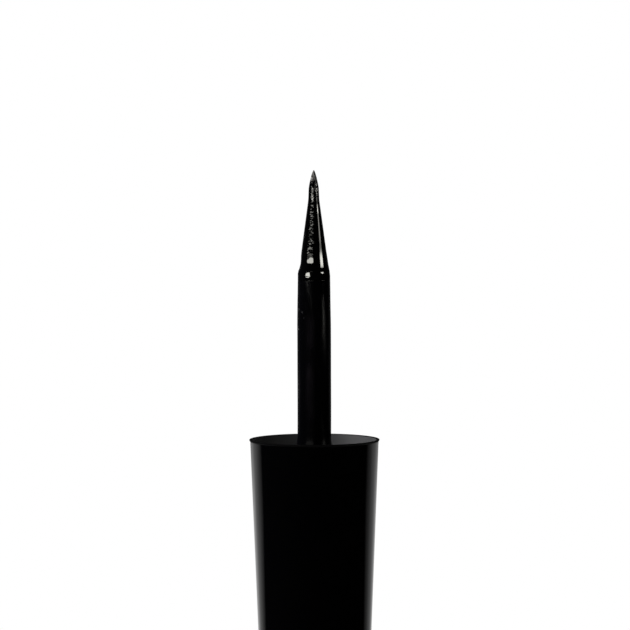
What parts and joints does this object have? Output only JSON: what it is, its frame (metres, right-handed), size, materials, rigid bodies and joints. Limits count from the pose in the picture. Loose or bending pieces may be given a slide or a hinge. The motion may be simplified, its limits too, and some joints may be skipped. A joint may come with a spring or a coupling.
{
  "type": "liquid eyeliner",
  "caption": "Opened dip-type liquid eyeliner: tapered gloss black handle standing tip-up with a slim stem and pointed felt nib, beside its short threaded ink bottle.",
  "frame": {"origin": "centre of the handle's flat closed end, on the surface that it stands on", "axes": "+Z along the applicator's axis, from the closed end to the nib's point; +X towards the bottle that stands beside it"},
  "size_m": [0.033, 0.013, 0.087],
  "materials": {
    "gloss_black_shell": "polished injection moulding",
    "insert_plastic": "as moulded polypropylene",
    "liner_foam": "fine closed-cell foam",
    "stem_plastic": "moulded, wet with ink near its top",
    "inked_felt": "fine felt under a wet coat of ink",
    "vial_plastic": "moulded polypropylene",
    "wiper_rubber": "soft moulded elastomer",
    "black_ink": "liquid"
  },
  "bodies": {
    "bottle": {"bottle_shell": "gloss_black_shell", "ink_vial": "vial_plastic", "wiper": "wiper_rubber", "ink": "black_ink"},
    "applicator": {"handle_shell": "gloss_black_shell", "inner_cap": "insert_plastic", "cap_liner": "liner_foam", "stem": "stem_plastic"},
    "felt_tip": {"nib": "inked_felt"}
  },
  "joints": [
    {"name": "applicator_lift", "type": "slide", "parent": "bottle", "child": "applicator", "axis": [0, 0, 1], "range_m": [0, 0.045]},
    {"name": "nib_flex", "type": "hinge", "parent": "applicator", "child": "felt_tip", "pos_m": [0, 0, 0.077], "axis": [0, 1, 0], "range_deg": [-12, 12], "stiffness_Nm_per_rad": 0.015, "deforming": ["nib"]}
  ]
}
